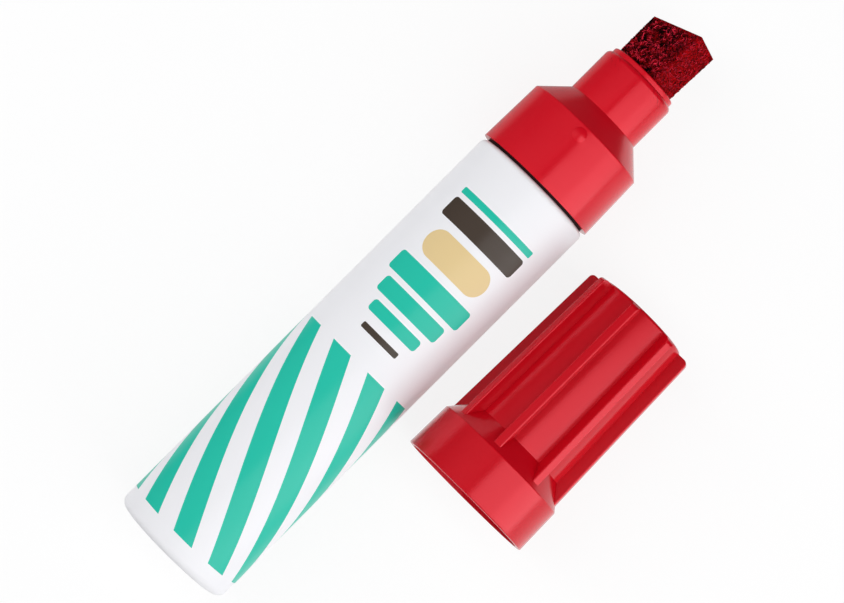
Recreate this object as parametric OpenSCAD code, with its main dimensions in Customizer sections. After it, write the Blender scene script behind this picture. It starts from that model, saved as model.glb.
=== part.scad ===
// Jumbo permanent marker lying on a table, with its cap taken off and lying beside it.
// X runs along the barrel from the base to the nib, Z is up, the origin is the centre of the base.

/* [Barrel] */
// Outside diameter of the barrel
barrel_d = 34; // [31:0.5:40]
// Length from the base to the rolled rim
barrel_length = 125.65; // [100:0.05:150]
// Wall of the drawn can
barrel_wall = 0.6; // [0.4:0.05:0.9]
// Thickness of the base
base_thick = 0.8; // [0.5:0.05:1.5]
// Radius of the base edge
base_edge_r = 2.2; // [1.2:0.1:4]
// Radius of the rolled rim
rim_roll_r = 1.4; // [1:0.05:1.6]
// Flat end of the rolled rim, measured inwards
rim_flat = 0.3; // [0.1:0.05:0.6]

/* [Seal ring] */
// Height of the ring, which sets the gap between rim and collar
seal_height = 0.65; // [0.4:0.05:1.5]
// Radial width of the ring
seal_width = 0.5; // [0.3:0.05:0.9]

/* [Collar] */
// Distance that the band stands out past the barrel's wall
band_proud = 0.33; // [0:0.01:1]
// Amount that the band's radius shrinks from barrel to cone
band_taper = 0.43; // [0:0.01:1]
// Length of the band
band_length = 17.35; // [12:0.05:24]
// Length of the cone between band and neck
cone_length = 6.1; // [5:0.1:10]
// Length of the neck
neck_length = 13.1; // [9:0.1:18]
// Radius of the edge between band and cone
band_edge_r = 0.4; // [0.1:0.05:1]
// Radius of the neck's front edge
neck_edge_r = 1.3; // [0.4:0.1:2]
// Wall of the neck round the holder
neck_wall = 0.9; // [0.7:0.05:1.3]
// Wall of the cone
cone_wall = 1.8; // [1.2:0.1:2.2]
// Wall of the plug that goes into the barrel
plug_wall = 1; // [0.8:0.05:1.4]
// Depth of the plug below the rim
plug_depth = 8; // [5:0.1:14]
// Length of the bead that the rolled rim holds
bead_length = 2.2; // [1.5:0.1:4]
// Step from the bead in to the rest of the plug
bead_step = 0.3; // [0.1:0.05:0.6]
// Diameter of the gate button on the band
gate_d = 3.7; // [1.5:0.1:4.5]
// Height of the gate button
gate_height = 0.35; // [0.1:0.05:0.4]
// Distance of the button's centre from the cone
gate_drop = 2.5; // [2.3:0.1:6]
// Direction of the button, from straight up towards +Y
gate_turn = 3.1; // [-180:0.1:180]

/* [Nib holder] */
// Distance that the lip stands out of the neck
lip_out = 1.25; // [0.6:0.05:3]
// Radius of the lip's front edge
lip_edge_r = 0.35; // [0.1:0.05:0.6]
// Least wall outside the corners of the felt
corner_wall = 0.83; // [0.6:0.01:1.2]
// Thickness of the lip's front wall
lip_wall = 1.6; // [1:0.1:3]
// Wall of the holder's sleeve and of its socket
holder_wall = 0.9; // [0.7:0.05:1.2]
// Width of the flange that stops the holder
flange_width = 2; // [1:0.1:2.4]
// Thickness of the flange
flange_thick = 1.6; // [1.3:0.1:2.4]
// Depth of the recess that the flange sits in
flange_recess = 1.2; // [0.6:0.1:1.3]
// Length of the socket behind the flange
socket_tail = 5; // [2:0.1:8]

/* [Nib] */
// Width of the felt block
nib_width = 15.5; // [12:0.1:17]
// Thickness of the felt block
nib_thick = 8.9; // [5:0.1:10]
// Turn of the felt block about the axis
nib_turn = 43; // [0:0.2:90]
// Distance that the highest corner stands out of the lip
nib_out = 15.4; // [8:0.1:18]
// Slope of the tip along its width
slant_wide = 10.7; // [0:0.1:30]
// Slope of the tip along its thickness
slant_thick = 6.2; // [0:0.1:20]
// Radius of the long edges inside the socket
nib_edge_r = 0.35; // [0.1:0.05:1]
// Angle by which the narrow face at the high corner splays outwards
nib_splay = 3.4; // [0.5:0.1:4]
// Depth of the tail in the reservoir
nib_tail = 7; // [4:0.1:14]

/* [Reservoir] */
// Thickness of the film round the filler
wrap_thick = 0.25; // [0.1:0.05:0.5]
// Distance of the film's front edge behind the filler's end
wrap_back = 1.5; // [0.5:0.1:5]

/* [Cap] */
// Overall length of the cap
cap_length = 61.9; // [55:0.1:80]
// Length of the skirt outside
skirt_length = 12.4; // [9:0.1:15]
// Wall of the skirt at the mouth
skirt_wall = 1.42; // [1:0.02:2]
// Amount that the skirt's radius shrinks from mouth to shoulder
skirt_draft = 0.25; // [0:0.05:0.4]
// Radius of the mouth's outer edge
mouth_edge_r = 0.4; // [0.1:0.05:0.8]
// Radius of the edge between skirt and shoulder
skirt_edge_r = 0.4; // [0.1:0.05:1]
// Length of the cone shoulder
shoulder_length = 5.5; // [4:0.1:9]
// Wall of the cone shoulder
shoulder_wall = 1.3; // [1:0.05:1.6]
// Wall of the tube
tube_wall = 1.45; // [1:0.05:1.8]
// Amount that the tube's radius shrinks from shoulder to crown
tube_draft = 1.1; // [0:0.05:2]
// Thickness of the crown
crown_thick = 1.6; // [1:0.1:3]
// Radius of the crown's edge
crown_edge_r = 0.7; // [0.2:0.05:1.2]
// Number of ribs
rib_count = 8; // [4:1:12]
// Thickness of a rib
rib_thick = 2.3; // [1:0.05:3]
// Height of a rib above the tube
rib_height = 3.25; // [1.5:0.05:3.6]
// Radius of a rib's end corner
rib_end_r = 1.3; // [0.4:0.1:1.5]
// Radius of a rib's long edges
rib_edge_r = 0.4; // [0.1:0.05:0.45]
// Distance of a rib's end behind the crown
rib_drop = 0.6; // [0:0.05:2]
// Direction of the first rib, from +Y towards up
rib_turn = 76.4; // [0:0.2:360]

/* [Cap liner] */
// Wall of the liner
liner_wall = 0.85; // [0.6:0.05:1.2]
// Thickness of the liner's closed end
liner_end = 1; // [0.6:0.1:2]
// Distance of the liner's mouth beyond the cone of the seated collar
liner_start = 0.9; // [0.3:0.1:3]
// Thickness of the liner's flange
liner_flange = 1.2; // [0.8:0.1:3]
// Lead-in at the liner's mouth
liner_lead = 0.5; // [0.1:0.05:0.6]

/* [Fits] */
// Gap between pieces that are pressed or crimped together
seat_clear = 0.05; // [0.01:0.01:0.1]
// Gap round the bead and plug inside the barrel
plug_clear = 0.1; // [0.05:0.01:0.2]
// Gap on each side of the felt in its socket
felt_clear = 0.06; // [0.02:0.01:0.15]
// Radial gap between film and collar
wrap_clear = 0.15; // [0.05:0.01:0.4]
// Radial gap between the cap's skirt and the band
skirt_clear = 0.1; // [0.05:0.01:0.4]
// Radial gap between the cap's liner and the neck
liner_clear = 0.04; // [0.02:0.01:0.1]
// Radial gap between liner and tube at the crown
liner_fit = 0.15; // [0.05:0.01:0.4]

/* [Layout] */
// Position of the cap's mouth along the barrel
cap_mouth_x = 60.15; // [0:0.05:110]
// Space between the collar's band and the cap's mouth
cap_gap = 5.4; // [2:0.1:30]

/* [Hidden] */
$fn = 96;
// Length by which cutters pass through a face
over = 1;

barrel_r = barrel_d / 2;
barrel_bore_r = barrel_r - barrel_wall;
rim_r = barrel_r - rim_roll_r;
rim_bore_r = rim_r - rim_flat;

// Stations along the axis, from the barrel's rim to the nib
collar_x = barrel_length + seal_height;
cone_x = collar_x + band_length;
neck_x = cone_x + cone_length;
neck_end_x = neck_x + neck_length;
lip_x = neck_end_x + lip_out;
nib_x = lip_x + nib_out;
head_x = lip_x + felt_clear;

// Radii of the front, from the barrel and from the felt
felt_r = norm([nib_width / 2 - nib_edge_r, nib_thick / 2 - nib_edge_r]) + nib_edge_r;
holder_r = felt_r + felt_clear + corner_wall;
holder_bore_r = holder_r + seat_clear;
neck_r = holder_bore_r + neck_wall;
band_low_r = barrel_r + band_proud;
band_high_r = band_low_r - band_taper;
plug_neck_r = rim_bore_r - plug_clear;
bead_r = barrel_bore_r - plug_clear;
plug_r = bead_r - bead_step;
collar_bore_r = plug_neck_r - plug_wall;
rim_under_x = barrel_length - barrel_wall - seat_clear;
bead_x = rim_under_x - (bead_r - plug_neck_r);
plug_x = barrel_length - plug_depth;

flange_r = holder_r + flange_width;
recess_r = flange_r + seat_clear;

// The inside of the cone runs parallel to its outside
cone_slope = (band_high_r - neck_r) / cone_length;
cone_offset = cone_wall * sqrt(1 + cone_slope * cone_slope);
cone_bore_x = cone_x + (band_high_r - cone_offset - collar_bore_r) / cone_slope;
recess_x = cone_x + (band_high_r - cone_offset - recess_r) / cone_slope;
seat_x = recess_x + flange_recess;
flange_x = seat_x - flange_thick;
socket_x = flange_x - socket_tail;

reservoir_x = base_thick + seat_clear;
reservoir_end_x = socket_x - seat_clear;
wrap_r = collar_bore_r - wrap_clear;
reservoir_r = wrap_r - wrap_thick;
nib_tail_x = reservoir_end_x - nib_tail;

// Radii of the cap, each from the piece that it closes on
skirt_bore_r = band_low_r + skirt_clear;
mouth_r = skirt_bore_r + skirt_wall;
skirt_top_r = mouth_r - skirt_draft;
liner_bore_r = neck_r + liner_clear;
liner_r = liner_bore_r + liner_wall;
tube_top_r = liner_r + liner_fit + tube_wall;
tube_low_r = tube_top_r + tube_draft;

// Stations along the cap, from its mouth to its crown
tube_x = skirt_length + shoulder_length;
shoulder_slope = (skirt_top_r - tube_low_r) / shoulder_length;
shoulder_offset = shoulder_wall * sqrt(1 + shoulder_slope * shoulder_slope);
skirt_bore_x = skirt_length + (skirt_top_r - shoulder_offset - skirt_bore_r) / shoulder_slope;
tube_bore_x = skirt_length + (skirt_top_r - shoulder_offset - tube_bore_r(tube_x)) / shoulder_slope;
cap_seat_x = skirt_length + (skirt_top_r - shoulder_offset - band_high_r) / shoulder_slope;
liner_x = cap_seat_x + cone_length + liner_start;
crown_x = cap_length - crown_thick;
rib_end_x = cap_length - rib_drop;

function tube_r(x) = tube_low_r - tube_draft * (x - tube_x) / (cap_length - tube_x);
function tube_bore_r(x) = tube_r(x) - tube_wall;
function rib_r(x) = tube_r(x) + rib_height;
function shoulder_mid_r(x) = skirt_top_r - shoulder_offset / 2 - shoulder_slope * (x - skirt_length);

// The cap lies on its skirt, at the mouth or at the shoulder, and on the end of its lowest rib
rib_step = 360 / rib_count;
rib_past = (630 - rib_turn) % rib_step;
rib_lean = min(rib_past, rib_step - rib_past);
rest_x = rib_end_x - rib_end_r;
rest_r = (rib_r(rest_x) - rib_edge_r) * cos(rib_lean) + (rib_thick / 2 - rib_edge_r) * sin(rib_lean) + rib_edge_r;
mouth_slope = (mouth_r - rest_r) / rest_x;
skirt_slope = (skirt_top_r - rest_r) / (rest_x - skirt_length);
cap_tilt = atan(max(mouth_slope, skirt_slope));
floor_z = -band_low_r;
skirt_top_low = skirt_length * sin(cap_tilt) + skirt_top_r * cos(cap_tilt);
cap_z = floor_z + max(mouth_r * cos(cap_tilt), skirt_top_low);

red = "#c81e2d";
cap_red = "#b81322";

// Lays a shape built along Z down along X, with its X to the side and its Y up
module lengthwise() {
    rotate([90, 0, 90]) children();
}

// Carries a shape built along Z to where the cap lies
module at_cap() {
    translate([cap_mouth_x, -(band_low_r + cap_gap + mouth_r), cap_z])
        rotate([0, cap_tilt, 0])
            lengthwise() children();
}

// Waste outside a rounded corner of a section, for a corner on its front or rear edge
module corner_waste(r, x, edge_r, front = true) {
    translate([r - edge_r, front ? x - edge_r : x + edge_r])
        rotate(front ? 0 : -90)
            difference() {
                square(edge_r + over);
                circle(edge_r);
            }
}

// Waste outside a rounded corner between two slanted edges of a section
module slant_waste(before, corner, after, edge_r) {
    to_before = (before - corner) / norm(before - corner);
    to_after = (after - corner) / norm(after - corner);
    half_angle = acos(to_before * to_after) / 2;
    reach = edge_r / tan(half_angle);
    inward = (to_before + to_after) / norm(to_before + to_after);
    difference() {
        polygon([corner + reach * to_before, corner - over * inward, corner + reach * to_after]);
        translate(corner + edge_r / sin(half_angle) * inward) circle(edge_r);
    }
}

// Section of a round block with both outer corners rounded
module can_section(r, rear_x, front_x, rear_edge_r, front_edge_r) {
    difference() {
        translate([0, rear_x]) square([r, front_x - rear_x]);
        corner_waste(r, front_x, front_edge_r);
        corner_waste(r, rear_x, rear_edge_r, front = false);
    }
}

// Section of the felt, larger all round by a gap
module felt_section(gap) {
    edge_r = nib_edge_r;
    half_w = nib_width / 2 + gap;
    half_t = nib_thick / 2 + gap;
    rotate(180 - nib_turn) {
        square([2 * half_w, 2 * (half_t - edge_r)], center = true);
        square([2 * (half_w - edge_r), 2 * half_t], center = true);
        for (side = [-1, 1], face = [-1, 1])
            translate([side * (half_w - edge_r), face * (half_t - edge_r)]) circle(edge_r);
    }
}

// White drawn can with a rounded base edge and a rim rolled inwards
module barrel() {
    color("#f3f3f6")
        lengthwise()
            rotate_extrude()
                difference() {
                    can_section(barrel_r, 0, barrel_length, base_edge_r, rim_roll_r);
                    can_section(barrel_bore_r, base_thick, barrel_length - barrel_wall,
                                base_edge_r - barrel_wall, rim_roll_r - barrel_wall);
                    translate([0, barrel_length - over - barrel_wall])
                        square([rim_bore_r, barrel_wall + 2 * over]);
                }
}

// Black ring between the rolled rim and the collar
module seal_ring() {
    color("#151517")
        lengthwise()
            translate([0, 0, barrel_length])
                difference() {
                    cylinder(r = rim_bore_r + seal_width, h = seal_height);
                    translate([0, 0, -over]) cylinder(r = rim_bore_r, h = seal_height + 2 * over);
                }
}

// Outside of the collar: plug with its bead, band, cone and neck
module collar_section() {
    difference() {
        polygon([
            [0, plug_x],
            [plug_r - bead_step, plug_x],
            [plug_r, plug_x + bead_step],
            [plug_r, bead_x - bead_length],
            [bead_r, bead_x - bead_length + bead_step],
            [bead_r, bead_x],
            [plug_neck_r, rim_under_x],
            [plug_neck_r, collar_x],
            [band_low_r, collar_x],
            [band_high_r, cone_x],
            [neck_r, neck_x],
            [neck_r, neck_end_x],
            [0, neck_end_x]
        ]);
        corner_waste(neck_r, neck_end_x, neck_edge_r);
        slant_waste([band_low_r, collar_x], [band_high_r, cone_x], [neck_r, neck_x], band_edge_r);
    }
}

// Inside of the collar: bore for the filler, cone, recess for the flange and bore for the holder
module collar_bore_section() {
    polygon([
        [0, plug_x - over],
        [collar_bore_r, plug_x - over],
        [collar_bore_r, cone_bore_x],
        [recess_r, recess_x],
        [recess_r, seat_x],
        [holder_bore_r, seat_x],
        [holder_bore_r, neck_end_x + over],
        [0, neck_end_x + over]
    ]);
}

// Domed button left by the moulding gate, facing up on the band and rooted in its wall
module gate_button() {
    gate_r = band_high_r + (band_low_r - band_high_r) * gate_drop / band_length;
    dome_r = (gate_d * gate_d / 4 + gate_height * gate_height) / (2 * gate_height);
    rotate(90 - gate_turn)
        translate([gate_r - over, 0, cone_x - gate_drop])
            rotate([0, 90, 0])
                rotate_extrude()
                    intersection() {
                        square([gate_d / 2, over + gate_height]);
                        translate([0, over + gate_height - dome_r]) circle(dome_r);
                    }
}

// Red front moulding, crimped into the barrel
module collar() {
    color(red)
        lengthwise() {
            rotate_extrude()
                difference() {
                    collar_section();
                    collar_bore_section();
                }
            gate_button();
        }
}

// Outside of the holder's round sleeve, with its flange
module holder_sleeve() {
    rotate_extrude() {
        can_section(holder_r, flange_x, lip_x, lip_edge_r, lip_edge_r);
        translate([0, flange_x]) square([flange_r, flange_thick]);
    }
}

// Hollow behind the lip, between the sleeve and the socket's walls
module holder_core() {
    translate([0, 0, flange_x - over])
        linear_extrude(lip_x - lip_wall - flange_x + over)
            difference() {
                circle(holder_r - holder_wall);
                felt_section(felt_clear + holder_wall);
            }
}

// Red insert with a square socket for the felt, pushed into the neck from behind
module nib_holder() {
    color(red)
        lengthwise()
            difference() {
                union() {
                    difference() {
                        holder_sleeve();
                        holder_core();
                    }
                    translate([0, 0, socket_x])
                        linear_extrude(flange_x + flange_thick - socket_x)
                            felt_section(felt_clear + holder_wall);
                }
                translate([0, 0, socket_x - over])
                    linear_extrude(lip_x - socket_x + 2 * over)
                        felt_section(felt_clear);
            }
}

// Everything in front of the slanted tip plane, which passes through the highest corner
module tip_waste() {
    reach = nib_width + nib_thick;
    rotate(180 - nib_turn)
        translate([nib_width / 2, -nib_thick / 2, nib_x])
            rotate([-slant_thick, -slant_wide, 0])
                translate([-reach, -reach, 0]) cube([2 * reach, 2 * reach, reach]);
}

// Part of the felt in front of the lip, with crisp edges and one narrow face splayed
module felt_head() {
    head_length = 2 * nib_out;
    rotate(180 - nib_turn)
        rotate([90, 0, 0])
            linear_extrude(nib_thick, center = true)
                polygon([
                    [-nib_width / 2, head_x],
                    [nib_width / 2, head_x],
                    [nib_width / 2 + head_length * tan(nib_splay), head_x + head_length],
                    [-nib_width / 2, head_x + head_length]
                ]);
}

// Rectangular felt with a slanted tip and a tail that reaches into the filler
module nib() {
    color("#6f1021")
        lengthwise()
            difference() {
                union() {
                    translate([0, 0, nib_tail_x])
                        linear_extrude(head_x - nib_tail_x + over) felt_section(0);
                    felt_head();
                }
                tip_waste();
            }
}

// Fibre filler with a pocket for the tail of the felt
module reservoir() {
    color("#9c2433")
        lengthwise()
            difference() {
                translate([0, 0, reservoir_x])
                    cylinder(r = reservoir_r, h = reservoir_end_x - reservoir_x);
                translate([0, 0, nib_tail_x - felt_clear])
                    linear_extrude(nib_tail + felt_clear + over) felt_section(felt_clear);
            }
}

// Film sleeve round the filler
module reservoir_wrap() {
    wrap_length = reservoir_end_x - wrap_back - reservoir_x;
    color("#e9e3d6")
        lengthwise()
            translate([0, 0, reservoir_x])
                difference() {
                    cylinder(r = wrap_r, h = wrap_length);
                    translate([0, 0, -over]) cylinder(r = reservoir_r, h = wrap_length + 2 * over);
                }
}

// Outside of the cap without its ribs
module cap_section() {
    difference() {
        polygon([
            [0, 0],
            [mouth_r, 0],
            [skirt_top_r, skirt_length],
            [tube_low_r, tube_x],
            [tube_top_r, cap_length],
            [0, cap_length]
        ]);
        corner_waste(mouth_r, 0, mouth_edge_r, front = false);
        corner_waste(tube_top_r, cap_length, crown_edge_r);
        slant_waste([mouth_r, 0], [skirt_top_r, skirt_length], [tube_low_r, tube_x], skirt_edge_r);
    }
}

// Inside of the cap: skirt bore, cone that seats on the band's edge, and tube
module cap_bore_section() {
    polygon([
        [0, -over],
        [skirt_bore_r, -over],
        [skirt_bore_r, skirt_bore_x],
        [tube_bore_r(tube_x), tube_bore_x],
        [tube_bore_r(crown_x), crown_x],
        [0, crown_x]
    ]);
}

// Side view of a rib, rooted in the middle of the wall, dying into the shoulder and rounded at its end
module rib_side() {
    inside_x = skirt_length - over;
    difference() {
        polygon([
            [tube_r(skirt_length) - tube_wall / 2, skirt_length],
            [tube_r(rib_end_x) - tube_wall / 2, rib_end_x],
            [rib_r(rib_end_x), rib_end_x],
            [rib_r(skirt_length), skirt_length]
        ]);
        polygon([
            [0, inside_x],
            [shoulder_mid_r(inside_x), inside_x],
            [0, inside_x + shoulder_mid_r(inside_x) / shoulder_slope]
        ]);
        corner_waste(rib_r(rib_end_x), rib_end_x, rib_end_r);
    }
}

// Cross-section of a rib, with its outer face at X = 0 and both outer corners rounded
module rib_across() {
    depth = rib_height + tube_wall;
    difference() {
        translate([-depth, -rib_thick / 2]) square([depth, rib_thick]);
        corner_waste(0, rib_thick / 2, rib_edge_r);
        corner_waste(0, -rib_thick / 2, rib_edge_r, front = false);
    }
}

// One rib: its side view, with the long edges rounded along the draft of the tube
module cap_rib() {
    draft_angle = atan(tube_draft / (cap_length - tube_x));
    intersection() {
        rotate([90, 0, 0])
            linear_extrude(rib_thick + over, center = true) rib_side();
        translate([rib_r(skirt_length), 0, skirt_length])
            rotate([0, -draft_angle, 0])
                translate([0, 0, -over])
                    linear_extrude(cap_length - skirt_length + 2 * over) rib_across();
    }
}

// Red outer cap with a plain skirt, a cone shoulder and lengthwise ribs
module cap_shell() {
    color(cap_red)
        at_cap() {
            rotate_extrude()
                difference() {
                    cap_section();
                    cap_bore_section();
                }
            for (i = [0 : rib_count - 1])
                rotate(rib_turn + i * rib_step) cap_rib();
        }
}

// Inner cap: sleeve that seals on the neck, with a flange held in the tube
module cap_liner() {
    flange_end_x = liner_x + liner_flange;
    liner_flange_r = tube_bore_r(flange_end_x) - seat_clear;
    color(cap_red)
        at_cap()
            rotate_extrude()
                polygon([
                    [liner_bore_r + liner_lead, liner_x],
                    [liner_flange_r, liner_x],
                    [liner_flange_r, flange_end_x],
                    [liner_r, flange_end_x],
                    [liner_r, crown_x],
                    [0, crown_x],
                    [0, crown_x - liner_end],
                    [liner_bore_r, crown_x - liner_end],
                    [liner_bore_r, liner_x + liner_lead]
                ]);
}

barrel();
seal_ring();
collar();
nib_holder();
nib();
reservoir();
reservoir_wrap();
cap_shell();
cap_liner();
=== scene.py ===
"""Dresses a jumbo permanent marker: printed barrel, red plastics, fibrous felt and a studio stage."""
import math

import bpy
from mathutils import Matrix, Vector, noise


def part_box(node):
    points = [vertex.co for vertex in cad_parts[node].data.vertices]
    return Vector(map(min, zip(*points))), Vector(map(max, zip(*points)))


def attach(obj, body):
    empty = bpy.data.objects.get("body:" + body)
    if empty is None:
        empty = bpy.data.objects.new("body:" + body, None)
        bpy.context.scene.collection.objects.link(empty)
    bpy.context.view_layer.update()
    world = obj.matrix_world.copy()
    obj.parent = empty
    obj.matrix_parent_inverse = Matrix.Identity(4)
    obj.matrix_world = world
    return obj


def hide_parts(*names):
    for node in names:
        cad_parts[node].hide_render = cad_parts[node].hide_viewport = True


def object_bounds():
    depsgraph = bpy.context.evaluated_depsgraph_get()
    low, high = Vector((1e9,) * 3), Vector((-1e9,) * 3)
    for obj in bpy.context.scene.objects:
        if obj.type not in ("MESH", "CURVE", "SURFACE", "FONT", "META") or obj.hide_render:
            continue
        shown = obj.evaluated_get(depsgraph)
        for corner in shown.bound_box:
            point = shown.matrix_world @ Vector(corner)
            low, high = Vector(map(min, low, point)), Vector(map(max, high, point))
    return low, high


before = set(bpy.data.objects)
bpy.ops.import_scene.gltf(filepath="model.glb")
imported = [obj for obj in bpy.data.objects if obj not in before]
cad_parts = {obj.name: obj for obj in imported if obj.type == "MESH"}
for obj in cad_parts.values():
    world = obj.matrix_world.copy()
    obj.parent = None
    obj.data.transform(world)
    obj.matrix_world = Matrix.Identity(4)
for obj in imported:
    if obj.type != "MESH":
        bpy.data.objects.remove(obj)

bl_info = {
    "name": "Jumbo permanent marker",
    "version": (1, 0, 0),
    "blender": (4, 5, 0),
    "location": "3D View > Sidebar > Marker",
    "description": "Finishes, felt and stage of a jumbo permanent marker with its cap off",
    "category": "Object",
}

CAD_LOW, CAD_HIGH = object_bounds()
COLLAR_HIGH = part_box("collar")[1]
NIB_LOW, NIB_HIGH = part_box("nib")
HOLDER_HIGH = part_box("nib_holder")[1]
FLOOR_Z = CAD_LOW.z
FLOOR_REACH = 4.0
PHOTO_WIDTH = 844

# Least and most roughness of each smooth finish.
RED_ROUGHNESS = (0.19, 0.23)
LACQUER_ROUGHNESS = (0.30, 0.34)
RUBBER_ROUGHNESS = (0.60, 0.80)
FILM_ROUGHNESS = (0.25, 0.40)

# Printed bars: ink, place along the barrel, half length around, half width along, corner radius.
BARS = (
    ("teal", 0.1125, 0.0128, 0.0009, 0.0004),
    ("umber", 0.1075, 0.0128, 0.0028, 0.0010),
    ("gold", 0.0985, 0.0105, 0.0040, 0.0040),
    ("teal", 0.0895, 0.0128, 0.0028, 0.0010),
    ("teal", 0.0830, 0.0105, 0.0022, 0.0010),
    ("teal", 0.0775, 0.0082, 0.0016, 0.0010),
    ("umber", 0.0725, 0.0060, 0.0008, 0.0004),
)
# Whole turns added to the stripes' phase, so that it is never below zero.
PHASE_START = 40.0

# Rub marks: slant of a scratch, and the noise ranges at the edges of scratches and of their patches.
SCRATCH_SLANT = math.radians(40)
SCRATCH_EDGE = (0.52, 0.66)
PATCH_EDGE = (0.42, 0.58)

# Felt block: distance between points, points on a rounded edge, rings on the sides and on the tip.
FELT_STEP = 0.0002
EDGE_POINTS = 4
SIDE_RINGS = 74
TIP_RINGS = 30
# Pits: mean depth, share and noise scale of tufts and grain, length past the lip until they are in full.
PIT_MEAN = 0.45
TUFT_SHARE = 0.45
TUFT_SCALE = 900
GRAIN_SHARE = 0.25
GRAIN_SCALE = 2600
GRAIN_SHIFT = Vector((5, 7, 3))
PIT_RUN_IN = 0.001
# Share of the cut faces' look on the strips next to the high edge and the tip.
STRIP_SHARE = 0.8
# Scale of the fibres' clumps as a share of the fibres' own, and the noise range between the painted shade of
# a gap and a fibre.
CLUMP_SHARE = 0.22
FIBRE_EDGE = (0.40, 0.60)

# Ends and bend of a loose strand: shares of its length along, sideways and up.
STRAND_SHAPE = {"Start": (-0.5, 0.0, -0.02), "Middle": (0.0, 0.22, 0.05), "End": (0.5, 0.0, -0.02)}
# Parts along a strand, sides of its section, seed, most tilt in radians, shortest as a share of the longest.
STRAND_PARTS = 4
STRAND_SIDES = 3
STRAND_SEED = 7
STRAND_TILT = 0.15
SHORTEST_STRAND = 0.35
# Part of the strands that is missing on cut faces, and the painted brightness of those that are there.
CUT_THINNING = 0.45
CUT_TONE = 0.6
# Farthest that a strand stands off the felt, in strand radii.
STRAND_LIFT = 1.5
# Noise that gathers the strands with a painted highlight in clumps, and the ranges between painted shade and
# painted highlight.
CLUMP_SCALE = 800.0
CLUMP_SHIFT = (0.008, 0.003, 0.0)
CLUMP_EDGE = (0.43, 0.58)
TONE_EDGE = (0.20, 0.75)

# Soft panels: middle and width along the barrel, and edges as places across and above it.
PANEL_X = 0.065
PANEL_WIDTH = 0.36
KEY_TOP, KEY_MIDDLE, KEY_FOOT = (-0.04, 0.70), (-0.42, 0.35), (-0.80, 0.0)
FILL_TOP, FILL_FOOT = (0.10, 0.75), (0.75, 0.0)
LOW_PANEL_GAIN = 1.3


class BarrelFinish(bpy.types.PropertyGroup):
    """Lacquer and print of the barrel."""
    lacquer: bpy.props.FloatVectorProperty(
        name="Lacquer", description="White lacquer of the barrel", subtype="COLOR",
        default=(0.84, 0.84, 0.87), min=0, max=1)
    teal: bpy.props.FloatVectorProperty(
        name="Teal", description="Teal printing ink", subtype="COLOR",
        default=(0.006, 0.50, 0.37), min=0, max=1)
    gold: bpy.props.FloatVectorProperty(
        name="Gold", description="Gold printing ink", subtype="COLOR",
        default=(0.74, 0.56, 0.28), min=0, max=1)
    umber: bpy.props.FloatVectorProperty(
        name="Umber", description="Dark brown printing ink", subtype="COLOR",
        default=(0.055, 0.038, 0.028), min=0, max=1)
    stripe_count: bpy.props.IntProperty(
        name="Stripes", description="Number of slanted stripes round the barrel", default=9, min=3, max=24)
    stripe_share: bpy.props.FloatProperty(
        name="Stripe share", description="Inked share of each stripe's pitch", subtype="FACTOR",
        default=0.52, min=0.1, max=0.9)
    stripe_lead: bpy.props.FloatProperty(
        name="Stripe lead", description="Length along the barrel in which a stripe shifts by one pitch",
        subtype="DISTANCE", unit="LENGTH", default=0.024, min=0.005)
    stripe_from: bpy.props.FloatProperty(
        name="Stripes from", description="Lower end of the stripes above the base",
        subtype="DISTANCE", unit="LENGTH", default=0.0055, min=0)
    stripe_to: bpy.props.FloatProperty(
        name="Stripes to", description="Upper end of the stripes above the base",
        subtype="DISTANCE", unit="LENGTH", default=0.065, min=0)


class PlasticFinish(bpy.types.PropertyGroup):
    """Colours and rub marks of the moulded pieces."""
    front: bpy.props.FloatVectorProperty(
        name="Front", description="Red plastic of the collar and the nib holder", subtype="COLOR",
        default=(0.645, 0.0045, 0.015), min=0, max=1)
    cap: bpy.props.FloatVectorProperty(
        name="Cap", description="Red plastic of the cap", subtype="COLOR",
        default=(0.555, 0.0025, 0.010), min=0, max=1)
    sheen: bpy.props.FloatVectorProperty(
        name="Sheen", description="Tint of the red plastics' reflections", subtype="COLOR",
        default=(1.0, 0.23, 0.27), min=0, max=1)
    # Near-black ring: black rubber, and also painted shade of the gap between the barrel and the collar.
    seal: bpy.props.FloatVectorProperty(
        name="Seal", description="Black rubber of the ring", subtype="COLOR",
        default=(0.008, 0.006, 0.006), min=0, max=1)
    film: bpy.props.FloatVectorProperty(
        name="Film", description="Film round the filler", subtype="COLOR",
        default=(0.80, 0.78, 0.72), min=0, max=1)
    rub_width: bpy.props.FloatProperty(
        name="Rub width", description="Width of the strip below the neck's end that the cap's liner rubs",
        subtype="DISTANCE", unit="LENGTH", default=0.0045, min=0.0005)
    rub_depth: bpy.props.FloatProperty(
        name="Rub depth", description="Darkening by the rub marks", subtype="FACTOR",
        default=0.45, min=0, max=1)


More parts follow.
